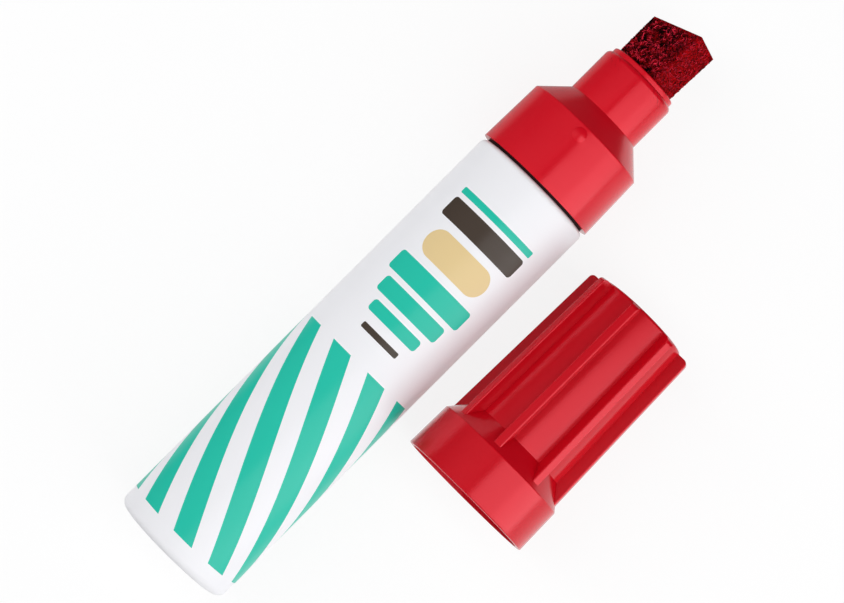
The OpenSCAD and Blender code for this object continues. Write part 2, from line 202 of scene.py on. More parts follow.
class FeltFinish(bpy.types.PropertyGroup):
    """Size, slant, strands and colours of the felt."""
    width: bpy.props.FloatProperty(
        name="Width", description="Width of the felt",
        subtype="DISTANCE", unit="LENGTH", default=0.0155)
    thick: bpy.props.FloatProperty(
        name="Thickness", description="Thickness of the felt",
        subtype="DISTANCE", unit="LENGTH", default=0.0089)
    edge: bpy.props.FloatProperty(
        name="Edge", description="Radius of the long edges",
        subtype="DISTANCE", unit="LENGTH", default=0.0002)
    turn: bpy.props.FloatProperty(
        name="Turn", description="Turn of the felt about the barrel",
        subtype="ANGLE", unit="ROTATION", default=math.radians(43))
    slant_wide: bpy.props.FloatProperty(
        name="Slant along width", description="Slope of the tip along its width",
        subtype="ANGLE", unit="ROTATION", default=math.radians(10.7))
    slant_thick: bpy.props.FloatProperty(
        name="Slant along thickness", description="Slope of the tip along its thickness",
        subtype="ANGLE", unit="ROTATION", default=math.radians(6.2))
    splay: bpy.props.FloatProperty(
        name="Splay", description="Outward lean of the narrow face at the high corner",
        subtype="ANGLE", unit="ROTATION", default=math.radians(3.4))
    pit: bpy.props.FloatProperty(
        name="Pits", description="Depth of the pits between tufts",
        subtype="DISTANCE", unit="LENGTH", default=0.00014, min=0)
    fray: bpy.props.FloatProperty(
        name="Fray", description="Width of the frayed strip on the wide faces next to the high corner",
        subtype="DISTANCE", unit="LENGTH", default=0.0035, min=0.0005)
    tip_strip: bpy.props.FloatProperty(
        name="Tip strip", description="Width of the cut-looking strip next to the tip",
        subtype="DISTANCE", unit="LENGTH", default=0.0014, min=0.0001)
    strand_density: bpy.props.FloatProperty(
        name="Strand density", description="Loose strands on a square metre of felt", default=5.6e6, min=0)
    strand_length: bpy.props.FloatProperty(
        name="Strand length", description="Length of the longest loose strands",
        subtype="DISTANCE", unit="LENGTH", default=0.0012, min=0.0002)
    strand_radius: bpy.props.FloatProperty(
        name="Strand radius", description="Radius of a loose strand",
        subtype="DISTANCE", unit="LENGTH", default=0.0001, min=0.00001)
    ink: bpy.props.FloatVectorProperty(
        name="Ink", description="Felt soaked with ink", subtype="COLOR",
        default=(0.31, 0.0008, 0.003), min=0, max=1)
    # Painted shade in the gaps between the fibres, and on dark loose strands.
    gap: bpy.props.FloatVectorProperty(
        name="Gap", description="Dark gaps between the fibres", subtype="COLOR",
        default=(0.004, 0.0002, 0.0004), min=0, max=1)
    # Painted highlight of loose strands that catch the light; also the lighter fibres of the filler.
    strand_highlight_and_fibre_red: bpy.props.FloatVectorProperty(
        name="Strand", description="Bright loose strands", subtype="COLOR",
        default=(1.0, 0.032, 0.075), min=0, max=1)


class StageSetup(bpy.types.PropertyGroup):
    """Camera, lamps and floor."""
    aim: bpy.props.FloatVectorProperty(
        name="Aim", description="Point in the middle of the picture", subtype="XYZ", unit="LENGTH",
        default=(0.08645, -0.00065, 0.0))
    foot: bpy.props.FloatVectorProperty(
        name="Foot", description="Point straight below the camera", subtype="XYZ", unit="LENGTH",
        default=(0.07445, -0.00065, 0.0))
    height: bpy.props.FloatProperty(
        name="Height", description="Height of the camera above the barrel's axis", subtype="DISTANCE",
        unit="LENGTH", default=0.735, min=0.1)
    scale: bpy.props.FloatProperty(
        name="Scale", description="Width of a picture point at the barrel's axis", subtype="DISTANCE",
        unit="LENGTH", default=0.000245, min=0.00001)
    turn: bpy.props.FloatProperty(
        name="Turn", description="Angle of the barrel in the picture", subtype="ANGLE", unit="ROTATION",
        default=math.radians(45.0))
    key: bpy.props.FloatProperty(
        name="Key light", description="Brightness of the soft panel on the cap's side", default=2.34, min=0)
    fill: bpy.props.FloatProperty(
        name="Fill light", description="Brightness of the soft panel on the far side", default=2.10, min=0)
    room: bpy.props.FloatProperty(
        name="Room light", description="Brightness of the surroundings", default=0.63, min=0)
    mirrored: bpy.props.FloatProperty(
        name="Mirrored room", description="Brightness in reflections of the room above the far side",
        default=0.40, min=0)
    floor: bpy.props.FloatVectorProperty(
        name="Floor", description="Pale floor", subtype="COLOR", default=(0.93, 0.93, 0.94), min=0, max=1)


def add_node(tree, kind, settings=None, inputs=None):
    """Adds a node, sets its options, and sets or links its inputs by name or number."""
    made = tree.nodes.new(kind)
    for option, value in (settings or {}).items():
        setattr(made, option, value)
    for socket, value in (inputs or {}).items():
        if isinstance(value, bpy.types.NodeSocket):
            tree.links.new(value, made.inputs[socket])
        else:
            made.inputs[socket].default_value = value
    return made


def math_node(tree, operation, first, second=0.0, third=0.0):
    """Adds a Math node and returns its output."""
    inputs = {0: first, 1: second, 2: third}
    return add_node(tree, "ShaderNodeMath", {"operation": operation}, inputs).outputs[0]


def times(tree, first, *others):
    """Multiplies values one after the other and returns the product."""
    for other in others:
        first = math_node(tree, "MULTIPLY", first, other)
    return first


def vector_node(tree, operation, first, second):
    """Adds a Vector Math node and returns its vector."""
    return add_node(tree, "ShaderNodeVectorMath", {"operation": operation}, {0: first, 1: second}).outputs[0]


def split(tree, vector):
    """Splits a vector and returns its X, Y and Z."""
    return add_node(tree, "ShaderNodeSeparateXYZ", None, {0: vector}).outputs


def mix_value(tree, factor, first, second):
    """Adds a mix of two values and returns its output."""
    inputs = {0: factor, 2: first, 3: second}
    return add_node(tree, "ShaderNodeMix", {"data_type": "FLOAT"}, inputs).outputs[0]


def mix_colour(tree, factor, first, second):
    """Adds a colour mix and returns its output."""
    inputs = {0: factor}
    for socket, colour in ((6, first), (7, second)):
        inputs[socket] = colour if isinstance(colour, bpy.types.NodeSocket) else (*colour, 1.0)
    return add_node(tree, "ShaderNodeMix", {"data_type": "RGBA", "clamp_factor": True}, inputs).outputs[2]


def fade(tree, value, zero_at, one_at):
    """Adds a smooth step from 0 to 1 between two values and returns its output."""
    step = add_node(tree, "ShaderNodeMapRange", {"interpolation_type": "SMOOTHSTEP"},
                    {"Value": value, "From Min": zero_at, "From Max": one_at})
    return step.outputs["Result"]


def noise_value(tree, position, scale, detail, roughness=0.5):
    """Adds a noise texture and returns its value."""
    inputs = {"Vector": position, "Scale": scale, "Detail": detail, "Roughness": roughness}
    return add_node(tree, "ShaderNodeTexNoise", {"noise_dimensions": "3D"}, inputs).outputs["Fac"]


def new_group(name, inputs, outputs):
    """Makes a shader group and returns it with its ends; an input with no default is a vector."""
    group = bpy.data.node_groups.new(name, "ShaderNodeTree")
    for label, default in inputs.items():
        kind = "NodeSocketVector" if default is None else "NodeSocketFloat"
        socket = group.interface.new_socket(name=label, in_out="INPUT", socket_type=kind)
        if default is not None:
            socket.default_value = default
    for label in outputs:
        group.interface.new_socket(name=label, in_out="OUTPUT", socket_type="NodeSocketFloat")
    return group, group.nodes.new("NodeGroupInput").outputs, group.nodes.new("NodeGroupOutput").inputs


def place_group(tree, group, inputs):
    """Places a shader group in a material, sets or links its inputs, and returns its outputs."""
    return add_node(tree, "ShaderNodeGroup", {"node_tree": group}, inputs).outputs


def moulded_surface_group():
    """Slow colour drift, uneven gloss and fine skin of a moulded or lacquered surface."""
    group = bpy.data.node_groups.get("moulded_surface")
    if group:
        return group
    group, entry, leave = new_group(
        "moulded_surface",
        {"Position": None, "Drift Scale": 90.0, "Skin Scale": 2600.0,
         "Least Roughness": 0.2, "Most Roughness": 0.32},
        ("Drift", "Roughness", "Height"))
    drift = noise_value(group, entry["Position"], entry["Drift Scale"], detail=3.0)
    skin = noise_value(group, entry["Position"], entry["Skin Scale"], detail=2.0)
    gloss = add_node(group, "ShaderNodeMapRange", {"clamp": True},
                     {"Value": drift, "From Min": 0.3, "From Max": 0.7,
                      "To Min": entry["Least Roughness"], "To Max": entry["Most Roughness"]})
    group.links.new(drift, leave["Drift"])
    group.links.new(gloss.outputs["Result"], leave["Roughness"])
    group.links.new(skin, leave["Height"])
    return group


def fibre_streaks_group():
    """Streaks along the barrel, as packed fibres have: single fibres, and the clumps they form."""
    group = bpy.data.node_groups.get("fibre_streaks")
    if group:
        return group
    group, entry, leave = new_group(
        "fibre_streaks", {"Position": None, "Fineness": 2600.0, "Stretch": 0.12}, ("Fibre", "Clump"))
    stretch = add_node(group, "ShaderNodeCombineXYZ", None, {"X": entry["Stretch"], "Y": 1.0, "Z": 1.0})
    along = vector_node(group, "MULTIPLY", entry["Position"], stretch.outputs["Vector"])
    clump_scale = times(group, entry["Fineness"], CLUMP_SHARE)
    group.links.new(noise_value(group, along, entry["Fineness"], detail=4.0, roughness=0.65), leave["Fibre"])
    group.links.new(noise_value(group, along, clump_scale, detail=3.0), leave["Clump"])
    return group


def rub_marks_group():
    """Short slanted marks in a strip along the barrel, where a liner rubs a neck."""
    group = bpy.data.node_groups.get("rub_marks")
    if group:
        return group
    group, entry, leave = new_group("rub_marks", {"Position": None, "From": 0.0, "To": 0.01}, ("Mark",))
    turned = add_node(group, "ShaderNodeMapping", {"vector_type": "TEXTURE"},
                      {"Vector": entry["Position"], "Rotation": (0.0, 0.0, SCRATCH_SLANT),
                       "Scale": (1.0, 0.22, 0.6)})
    scratch = noise_value(group, turned.outputs["Vector"], scale=420.0, detail=4.0, roughness=0.7)
    patch = noise_value(group, entry["Position"], scale=110.0, detail=1.0)
    along = split(group, entry["Position"])["X"]
    strip = times(group, fade(group, along, entry["From"], entry["To"]),
                  math_node(group, "LESS_THAN", along, entry["To"]))
    mark = times(group, fade(group, scratch, *SCRATCH_EDGE), fade(group, patch, *PATCH_EDGE), strip)
    group.links.new(mark, leave["Mark"])
    return group


def print_bar_group():
    """Mask of one plain printed bar with rounded corners, placed round and along the barrel."""
    group = bpy.data.node_groups.get("print_bar")
    if group:
        return group
    group, entry, leave = new_group(
        "print_bar",
        {"Around": 0.0, "Along": 0.0, "Centre Around": 0.0, "Centre Along": 0.0,
         "Half Around": 0.01, "Half Along": 0.002, "Corner": 0.001},
        ("Mask",))
    squares = []
    for way in ("Around", "Along"):
        away = math_node(group, "ABSOLUTE", math_node(group, "SUBTRACT", entry[way], entry["Centre " + way]))
        inner = math_node(group, "SUBTRACT", entry["Half " + way], entry["Corner"])
        past = math_node(group, "MAXIMUM", math_node(group, "SUBTRACT", away, inner), 0.0)
        squares.append(times(group, past, past))
    distance = math_node(group, "SQRT", math_node(group, "ADD", *squares))
    group.links.new(math_node(group, "LESS_THAN", distance, entry["Corner"]), leave["Mask"])
    return group


def new_material(name):
    """Makes a node material and returns it with its tree and its shader."""
    material = bpy.data.materials.new(name)
    material.use_nodes = True
    tree = material.node_tree
    tree.nodes.clear()
    shader = tree.nodes.new("ShaderNodeBsdfPrincipled")
    leave = tree.nodes.new("ShaderNodeOutputMaterial")
    tree.links.new(shader.outputs["BSDF"], leave.inputs["Surface"])
    return material, tree, shader


def object_position(tree):
    """Returns the object coordinates, in metres."""
    return tree.nodes.new("ShaderNodeTexCoord").outputs["Object"]


def scaled(colour, share):
    """Returns a colour made darker or brighter."""
    return [value * share for value in colour]


def add_bump(tree, shader, height, strength, distance):
    """Feeds a height through a Bump node into the shader's normal."""
    bump = add_node(tree, "ShaderNodeBump", None,
                    {"Strength": strength, "Distance": distance, "Height": height})
    tree.links.new(bump.outputs["Normal"], shader.inputs["Normal"])


def smooth_surface(tree, shader, roughness, scales=None):
    """Places the moulded surface, gives the shader its roughness, and returns the surface's outputs."""
    least, most = roughness
    inputs = {"Position": object_position(tree), "Least Roughness": least, "Most Roughness": most}
    surface = place_group(tree, moulded_surface_group(), {**inputs, **(scales or {})})
    tree.links.new(surface["Roughness"], shader.inputs["Roughness"])
    return surface


def dress(node, material):
    """Gives a CAD node its finish."""
    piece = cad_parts[node]
    piece.data.materials.clear()
    piece.data.materials.append(material)


def plastic_material(name, colour, roughness, sheen=None):
    """Glossy moulded plastic with a slight drift in colour and gloss; a sheen makes the gloss stronger."""
    material, tree, shader = new_material(name)
    surface = smooth_surface(tree, shader, roughness)
    deep = scaled(colour, 0.95)
    tree.links.new(mix_colour(tree, surface["Drift"], deep, colour), shader.inputs["Base Color"])
    shader.inputs["IOR"].default_value = 1.49
    if sheen:
        shader.inputs["IOR"].default_value = 1.6
        shader.inputs["Specular IOR Level"].default_value = 0.85
        shader.inputs["Specular Tint"].default_value = (*sheen, 1.0)
    add_bump(tree, shader, surface["Height"], strength=0.02, distance=0.00002)
    return material


def neck_material(finish):
    """Red plastic of the front, with faint rub marks at the neck's end."""
    material = plastic_material("neck_plastic", finish.front, RED_ROUGHNESS, finish.sheen)
    tree = material.node_tree
    base = tree.nodes["Principled BSDF"].inputs["Base Color"]
    clean = base.links[0].from_socket
    rub = place_group(tree, rub_marks_group(), {
        "Position": object_position(tree), "From": COLLAR_HIGH.x - finish.rub_width, "To": COLLAR_HIGH.x})
    worn = scaled(finish.front, 1 - finish.rub_depth)
    tree.links.new(mix_colour(tree, rub["Mark"], clean, worn), base)
    return material


def ring_material_with_gap_shade(finish):
    """Dull black rubber of the ring; its near-black colour is also painted shade of the gap between the
    barrel and the collar.
    """
    material, tree, shader = new_material("ring_rubber")
    smooth_surface(tree, shader, RUBBER_ROUGHNESS)
    shader.inputs["Base Color"].default_value = (*finish.seal, 1.0)
    shader.inputs["Specular IOR Level"].default_value = 0.12
    return material


def barrel_material(finish):
    """White lacquer with slanted teal stripes and plain printed bars."""
    material, tree, shader = new_material("printed_lacquer")
    surface = smooth_surface(tree, shader, LACQUER_ROUGHNESS, {"Drift Scale": 45.0, "Skin Scale": 600.0})
    place = split(tree, object_position(tree))
    along = place["X"]
    angle = math_node(tree, "ARCTAN2", times(tree, place["Y"], -1.0), place["Z"])
    around = times(tree, angle, COLLAR_HIGH.z)

    turns = times(tree, angle, finish.stripe_count / math.tau)
    slant = times(tree, along, 1.0 / finish.stripe_lead)
    shift = math_node(tree, "ADD", math_node(tree, "ADD", turns, slant), PHASE_START)
    inked = math_node(tree, "LESS_THAN", math_node(tree, "FRACT", shift), finish.stripe_share)
    middle = (finish.stripe_from + finish.stripe_to) / 2
    reach = (finish.stripe_to - finish.stripe_from) / 2
    stripe = times(tree, inked, math_node(tree, "COMPARE", along, middle, reach))

    shade = scaled(finish.lacquer, 0.99)
    colour = mix_colour(tree, surface["Drift"], shade, finish.lacquer)
    colour = mix_colour(tree, stripe, colour, finish.teal)
    for ink, centre, half_around, half_along, corner in BARS:
        bar = place_group(tree, print_bar_group(), {
            "Around": around, "Along": along, "Centre Along": centre,
            "Half Around": half_around, "Half Along": half_along, "Corner": corner})
        colour = mix_colour(tree, bar["Mask"], colour, getattr(finish, ink))
    tree.links.new(colour, shader.inputs["Base Color"])
    shader.inputs["Specular IOR Level"].default_value = 0.3
    add_bump(tree, shader, surface["Height"], strength=0.02, distance=0.00003)
    return material


def felt_material(finish):
    """Ink-soaked felt: inked tufts with painted shade in the gaps between them on the wide faces, an even
    red on the cut narrow faces and the tip.
    """
    material, tree, shader = new_material("inked_felt")
    streaks = place_group(tree, fibre_streaks_group(), {
        "Position": object_position(tree), "Fineness": 2800.0, "Stretch": 0.7})
    fibre = fade(tree, streaks["Fibre"], *FIBRE_EDGE)
    clump = fade(tree, streaks["Clump"], *FIBRE_EDGE)
    # Painted shade: the gaps between the inked fibres are nearly black.
    tufts_and_gap_shade = mix_colour(tree, clump, finish.gap, mix_colour(tree, fibre, finish.gap, finish.ink))
    soaked = scaled(finish.ink, 0.3)
    bright = scaled(finish.ink, 1.2)
    even = mix_colour(tree, fibre, soaked, bright)
    cut = add_node(tree, "ShaderNodeAttribute", {"attribute_name": "cut_face"}).outputs["Fac"]
    tree.links.new(mix_colour(tree, cut, tufts_and_gap_shade, even), shader.inputs["Base Color"])
    shader.inputs["Roughness"].default_value = 0.9
    shader.inputs["Specular IOR Level"].default_value = 0.05
    add_bump(tree, shader, streaks["Fibre"], strength=0.8, distance=0.0002)
    return material


def strand_material(finish):
    """Loose strands, each painted between shade and a bright red highlight by its own number."""
    material, tree, shader = new_material("felt_strands")
    tone = add_node(tree, "ShaderNodeAttribute", {"attribute_name": "strand_tone"}).outputs["Fac"]
    tree.links.new(mix_colour(tree, tone, finish.gap, finish.strand_highlight_and_fibre_red), shader.inputs["Base Color"])
    shader.inputs["Roughness"].default_value = 0.6
    shader.inputs["Specular IOR Level"].default_value = 0.05
    return material


def filler_material(finish):
    """Fibre bundle of the reservoir, soaked with ink."""
    material, tree, shader = new_material("inked_filler")
    streaks = place_group(tree, fibre_streaks_group(), {
        "Position": object_position(tree), "Fineness": 1800.0, "Stretch": 0.03})
    colour = mix_colour(tree, streaks["Fibre"], finish.ink, finish.strand_highlight_and_fibre_red)
    tree.links.new(colour, shader.inputs["Base Color"])
    shader.inputs["Roughness"].default_value = 0.9
    add_bump(tree, shader, streaks["Fibre"], strength=0.5, distance=0.0001)
    return material


def felt_axes(finish):
    """Directions of the felt's width and thickness."""
    wide = Vector((0, -math.cos(finish.turn), math.sin(finish.turn)))
    thick = Vector((0, -math.sin(finish.turn), -math.cos(finish.turn)))
    return wide, thick


def splay_out(finish, x, across):
    """Place across the felt, moved out by the splay in front of the holder."""
    share = across / finish.width + 0.5
    return across + math.tan(finish.splay) * max(0.0, x - HOLDER_HIGH.x) * share


def tip_height(finish, across, through):
    """Place along the barrel of the slanted tip, at a point of the felt's section."""
    high_corner = splay_out(finish, NIB_HIGH.x, finish.width / 2)
    rise = math.tan(finish.slant_wide) * (across - high_corner)
    fall = math.tan(finish.slant_thick) / math.cos(finish.slant_wide) * (through + finish.thick / 2)
    return NIB_HIGH.x + rise - fall


def head_point(finish, share, across, through):
    """Place along and across the felt at a share of the way from the holder to the tip."""
    x = HOLDER_HIGH.x
    # The splay and the tip's height depend on each other, and settle in a few rounds.
    for _ in range(4):
        top = tip_height(finish, splay_out(finish, x, across), through)
        x = HOLDER_HIGH.x + (top - HOLDER_HIGH.x) * share
    return x, splay_out(finish, x, across)


def pit_depth(finish, place):
    """Depth of the felt's surface below its full size, from two sizes of noise."""
    tuft = noise.noise(place * TUFT_SCALE)
    grain = noise.noise(place * GRAIN_SCALE + GRAIN_SHIFT)
    share = PIT_MEAN + TUFT_SHARE * tuft + GRAIN_SHARE * grain
    return finish.pit * max(0.0, min(1.0, share))


def felt_outline(finish):
    """Points round the felt's section, with their outward directions."""
    half_w = finish.width / 2 - finish.edge
    half_t = finish.thick / 2 - finish.edge
    corners = [(half_w, half_t), (-half_w, half_t), (-half_w, -half_t), (half_w, -half_t)]
    points = []

    def put(across, through, out):
        points.append((across + finish.edge * out[0], through + finish.edge * out[1], out))

    for number, (across, through) in enumerate(corners):
        for part in range(EDGE_POINTS):
            turn = math.radians(90 * (number + part / (EDGE_POINTS - 1)))
            out = (math.cos(turn), math.sin(turn))
            put(across, through, out)
        next_across, next_through = corners[(number + 1) % len(corners)]
        count = round(math.dist((across, through), (next_across, next_through)) / FELT_STEP)
        for part in range(1, count):
            share = part / count
            put(across + (next_across - across) * share, through + (next_through - through) * share, out)
    return points


def cut_share(finish, across, out, to_tip):
    """Share of the cut faces' look: full on the narrow faces, fading in next to the high edge and tip."""
    near_edge = 1.0 - (finish.width / 2 - across) / finish.fray
    near_tip = 1.0 - to_tip / finish.tip_strip
    return max(abs(out[0]), STRIP_SHARE * max(0.0, near_edge, near_tip))


def felt_mesh(finish):
    """Felt block, plain inside the holder and pitted in front of it, with a cut, slanted tip."""
    wide, thick = felt_axes(finish)
    outline = felt_outline(finish)
    count = len(outline)
    tail_x = NIB_LOW.x
    lip_x = HOLDER_HIGH.x
    verts = []
    faces = []
    cut_shares = []

    def put(x, across, through, cut=1.0):
        verts.append(Vector((x, 0, 0)) + wide * across + thick * through)
        cut_shares.append(cut)

    def bridge(first, second):
        for place in range(count):
            after = (place + 1) % count
            faces.append((first + place, first + after, second + after, second + place))

    for across, through, out in outline:
        put(tail_x, across, through, cut_share(finish, across, out, NIB_HIGH.x - tail_x))
    for ring in range(SIDE_RINGS + 1):
        share = ring / SIDE_RINGS
        for across, through, out in outline:
            x, spread = head_point(finish, share, across, through)
            depth = pit_depth(finish, Vector((x, across, through))) * min(1.0, (x - lip_x) / PIT_RUN_IN)
            cut = cut_share(finish, across, out, (NIB_HIGH.x - lip_x) * (1 - share))
            put(x, spread - out[0] * depth, through - out[1] * depth, cut)
        bridge(ring * count, (ring + 1) * count)

    rim = (SIDE_RINGS + 1) * count
    for ring in range(1, TIP_RINGS):
        shrink = 1 - ring / TIP_RINGS
        start = len(verts)
        for across, through, _ in outline:
            inner_across = across * shrink
            inner_through = through * shrink
            x, spread = head_point(finish, 1.0, inner_across, inner_through)
            depth = pit_depth(finish, Vector((x, inner_across, inner_through)))
            put(x - depth, spread, inner_through)
        bridge(rim, start)
        rim = start
    x, spread = head_point(finish, 1.0, 0.0, 0.0)
    put(x - finish.pit / 2, spread, 0.0)
    put(tail_x, 0.0, 0.0)
    tip, tail = len(verts) - 2, len(verts) - 1
    for place in range(count):
        after = (place + 1) % count
        faces.append((rim + place, rim + after, tip))
        faces.append((after, place, tail))
    mesh = bpy.data.meshes.new("felt_block")
    mesh.from_pydata(verts, [], faces)
    mesh.validate()
    cut = mesh.attributes.new("cut_face", "FLOAT", "POINT")
    cut.data.foreach_set("value", cut_shares)
    for polygon in mesh.polygons:
        polygon.use_smooth = True
    return mesh


def strand_tree(material):
    """Geometry nodes that lay curled loose strands on the felt, between the holder and the tip."""
    tree = bpy.data.node_groups.new("loose_strands", "GeometryNodeTree")
    sockets = {
        "Felt": "Geometry", "Density": "Float", "Length": "Float", "Radius": "Float", "From": "Float",
        "Tip Normal": "Vector", "Tip Distance": "Float", "Seed": "Int",
    }
    for label, kind in sockets.items():
        tree.interface.new_socket(name=label, in_out="INPUT", socket_type="NodeSocket" + kind)
    tree.interface.new_socket(name="Strands", in_out="OUTPUT", socket_type="NodeSocketGeometry")
    entry = tree.nodes.new("NodeGroupInput").outputs
    leave = tree.nodes.new("NodeGroupOutput")
    position = tree.nodes.new("GeometryNodeInputPosition").outputs[0]
    cut = add_node(tree, "GeometryNodeInputNamedAttribute", {"data_type": "FLOAT"},
                   {"Name": "cut_face"}).outputs["Attribute"]

    # Points on the felt, fewer of them on its cut faces.
    past_holder = math_node(tree, "GREATER_THAN", split(tree, position)["X"], entry["From"])
    to_tip = add_node(tree, "ShaderNodeVectorMath", {"operation": "DOT_PRODUCT"},
                      {0: position, 1: entry["Tip Normal"]}).outputs["Value"]
    before_tip = math_node(tree, "LESS_THAN", to_tip, entry["Tip Distance"])
    thinned = math_node(tree, "MULTIPLY_ADD", cut, -CUT_THINNING, 1.0)
    points = add_node(tree, "GeometryNodeDistributePointsOnFaces", {"distribute_method": "RANDOM"},
                      {"Mesh": entry["Felt"], "Selection": times(tree, past_holder, before_tip),
                       "Seed": entry["Seed"], "Density": times(tree, entry["Density"], thinned)})

    # One bent strand.
    bend = {}
    for label, shares in STRAND_SHAPE.items():
        lengths = {axis: times(tree, entry["Length"], share) for axis, share in zip("XYZ", shares)}
        bend[label] = add_node(tree, "ShaderNodeCombineXYZ", None, lengths).outputs[0]
    curl = add_node(tree, "GeometryNodeCurveQuadraticBezier", None, {"Resolution": STRAND_PARTS, **bend})
    ring = add_node(tree, "GeometryNodeCurvePrimitiveCircle", None,
                    {"Resolution": STRAND_SIDES, "Radius": entry["Radius"]})
    tube = add_node(tree, "GeometryNodeCurveToMesh", None,
                    {"Curve": curl.outputs[0], "Profile Curve": ring.outputs["Curve"], "Fill Caps": True})

    # Turn, size and painted brightness of each strand; the ones with a painted highlight stand in clumps.
    spin = add_node(tree, "FunctionNodeRandomValue", {"data_type": "FLOAT_VECTOR"},
                    {0: (-STRAND_TILT, -STRAND_TILT, -math.pi), 1: (STRAND_TILT, STRAND_TILT, math.pi),
                     "Seed": entry["Seed"]})
    turned = add_node(tree, "FunctionNodeRotateRotation", {"rotation_space": "LOCAL"},
                      {0: points.outputs["Rotation"], 1: spin.outputs[0]})
    size = add_node(tree, "FunctionNodeRandomValue", {"data_type": "FLOAT"},
                    {2: SHORTEST_STRAND, 3: 1.0, "Seed": math_node(tree, "ADD", entry["Seed"], 1.0)})
    tone = add_node(tree, "FunctionNodeRandomValue", {"data_type": "FLOAT"},
                    {2: 0.0, 3: 1.0, "Seed": math_node(tree, "ADD", entry["Seed"], 2.0)})
    clump = noise_value(tree, vector_node(tree, "ADD", position, CLUMP_SHIFT), CLUMP_SCALE, detail=2.0)
    bared = mix_value(tree, cut, fade(tree, clump, *CLUMP_EDGE), CUT_TONE)
    # Painted light: a strand's brightness runs from painted shade to a painted highlight, partly at random.
    strand_light = times(tree, bared, fade(tree, tone.outputs[1], *TONE_EDGE))
    laid = add_node(tree, "GeometryNodeInstanceOnPoints", None,
                    {"Points": points.outputs["Points"], "Instance": tube.outputs["Mesh"],
                     "Rotation": turned.outputs[0], "Scale": size.outputs[1]})
    toned = add_node(tree, "GeometryNodeStoreNamedAttribute", {"data_type": "FLOAT", "domain": "INSTANCE"},
                     {"Geometry": laid.outputs["Instances"], "Name": "strand_tone", "Value": strand_light})
    real = add_node(tree, "GeometryNodeRealizeInstances", None, {"Geometry": toned.outputs[0]})

    # Points that stand too far off are pulled back to the felt.
    nearest = add_node(tree, "GeometryNodeProximity", {"target_element": "FACES"}, {0: entry["Felt"]})
    away = vector_node(tree, "SUBTRACT", position, nearest.outputs[0])
    reach = times(tree, entry["Radius"], STRAND_LIFT)
    pull = math_node(tree, "MINIMUM", math_node(tree, "DIVIDE", reach, nearest.outputs["Distance"]), 1.0)
    held = add_node(tree, "ShaderNodeVectorMath", {"operation": "SCALE"}, {0: away, "Scale": pull})
    hugging = vector_node(tree, "ADD", nearest.outputs[0], held.outputs[0])
    pressed = add_node(tree, "GeometryNodeSetPosition", None,
                       {"Geometry": real.outputs[0], "Position": hugging})
    finished = add_node(tree, "GeometryNodeSetMaterial", None,
                        {"Geometry": pressed.outputs[0], "Material": material})
    tree.links.new(finished.outputs[0], leave.inputs[0])
    return tree


def grow_strands(finish, felt, material):
    """Runs the strand tree on the felt and returns its result as a plain mesh object."""
    source = bpy.data.objects.new("strand_source", felt.data.copy())
    bpy.context.scene.collection.objects.link(source)
    tree = strand_tree(material)
    modifier = source.modifiers.new("loose_strands", "NODES")
    modifier.node_group = tree
    wide, thick = felt_axes(finish)
    normal = Vector((1, 0, 0)) - wide * math.tan(finish.slant_wide)
    normal += thick * (math.tan(finish.slant_thick) / math.cos(finish.slant_wide))
    normal.normalize()
    high_corner = splay_out(finish, NIB_HIGH.x, finish.width / 2)
    corner = Vector((NIB_HIGH.x, 0, 0)) + wide * high_corner - thick * finish.thick / 2
    values = {
        "Density": finish.strand_density, "Length": finish.strand_length, "Radius": finish.strand_radius,
        "From": HOLDER_HIGH.x + finish.strand_length / 2, "Tip Normal": normal,
        "Tip Distance": normal.dot(corner) - finish.strand_length / 3, "Seed": STRAND_SEED,
    }
    for item in tree.interface.items_tree:
        if item.in_out == "INPUT" and item.name in values:
            modifier[item.identifier] = values[item.name]
    graph = bpy.context.evaluated_depsgraph_get()
    mesh = bpy.data.meshes.new_from_object(source.evaluated_get(graph), preserve_all_data_layers=True,
                                           depsgraph=graph)
    source.modifiers.remove(modifier)
    bpy.data.objects.remove(source)
    strands = bpy.data.objects.new("felt_strands", mesh)
    bpy.context.scene.collection.objects.link(strands)
    if not mesh.polygons:
        raise RuntimeError("the felt has no strands")
    return strands


def light_room(world, setup):
    """Room light that falls off ahead and behind; white to the camera.

    In reflections it is dark, apart from a glow above the far side and a pale end behind the base.
    """
    least = 0.03
    pale = 0.90
    ahead_edge, behind_edge = (0.32, -0.15), (-0.95, -0.35)
    glow_ahead, glow_side, glow_low = (0.24, 0.12), (0.10, 0.18), (0.15, 1.0)
    pale_edge = (-0.50, -0.85)
    world.use_nodes = True
    tree = world.node_tree
    shade = tree.nodes["Background"]
    way = split(tree, tree.nodes.new("ShaderNodeTexCoord").outputs["Generated"])
    sides = times(tree, fade(tree, way["X"], *ahead_edge), fade(tree, way["X"], *behind_edge))
    even = times(tree, math_node(tree, "MULTIPLY_ADD", sides, 1 - least, least), setup.room)
    glow = times(tree, fade(tree, way["Z"], *glow_low), fade(tree, way["Y"], *glow_side),
                 fade(tree, way["X"], *glow_ahead))
    behind = math_node(tree, "MULTIPLY_ADD", fade(tree, way["X"], *pale_edge), pale, least)
    dim = math_node(tree, "MULTIPLY_ADD", glow, setup.mirrored, behind)
    ray = tree.nodes.new("ShaderNodeLightPath").outputs
    strength = mix_value(tree, ray["Is Glossy Ray"], even, dim)
    strength = mix_value(tree, ray["Is Camera Ray"], strength, 1.0)
    tree.links.new(strength, shade.inputs["Strength"])
    shade.inputs["Color"].default_value = (1, 1, 1, 1)


